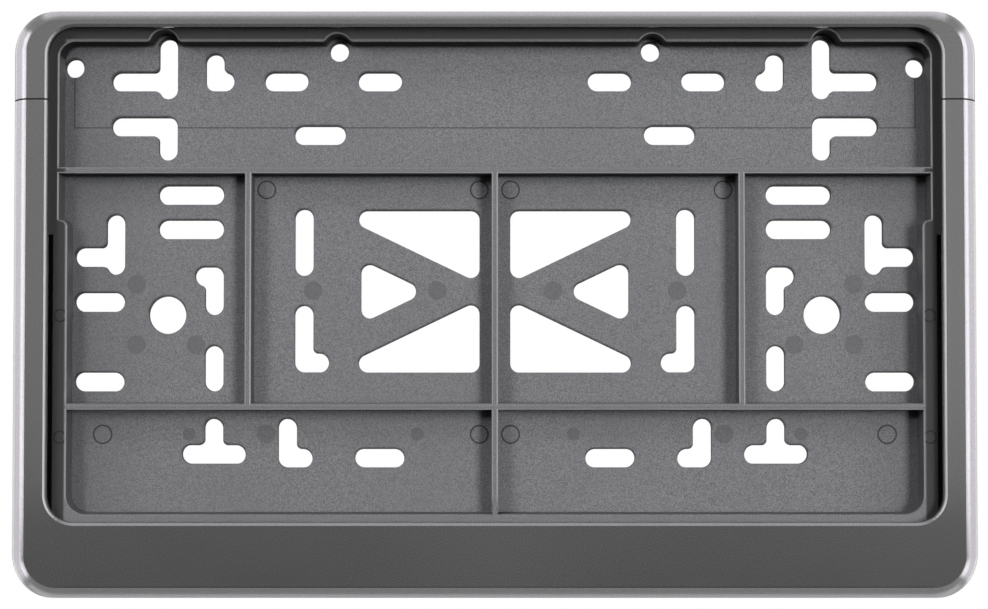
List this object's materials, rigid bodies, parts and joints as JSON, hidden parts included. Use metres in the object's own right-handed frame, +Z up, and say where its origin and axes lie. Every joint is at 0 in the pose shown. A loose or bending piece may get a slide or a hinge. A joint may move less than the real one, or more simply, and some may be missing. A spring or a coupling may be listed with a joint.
{
  "type": "number plate holder",
  "caption": "Holder for a two-line number plate: a slotted, ribbed base tray with a top rail, and a U-shaped lower frame that slides on from below to close the border.",
  "frame": {"origin": "middle of the flat back, halfway between the outer edges", "axes": "+X to the right seen from the front, +Y to the car behind it, +Z up; the front faces -Y"},
  "size_m": [0.3052, 0.015, 0.1844],
  "materials": {
    "tray_plastic": "grey, finely grained on the floor and satin on the top rail",
    "frame_plastic": "satin silver grey"
  },
  "bodies": {
    "tray": {"base_tray": "tray_plastic"},
    "frame": {"lower_frame": "frame_plastic"}
  },
  "joints": [
    {"name": "frame_slide", "type": "slide", "parent": "tray", "child": "frame", "axis": [0, 0, -1], "range_m": [0, 0.043]}
  ]
}
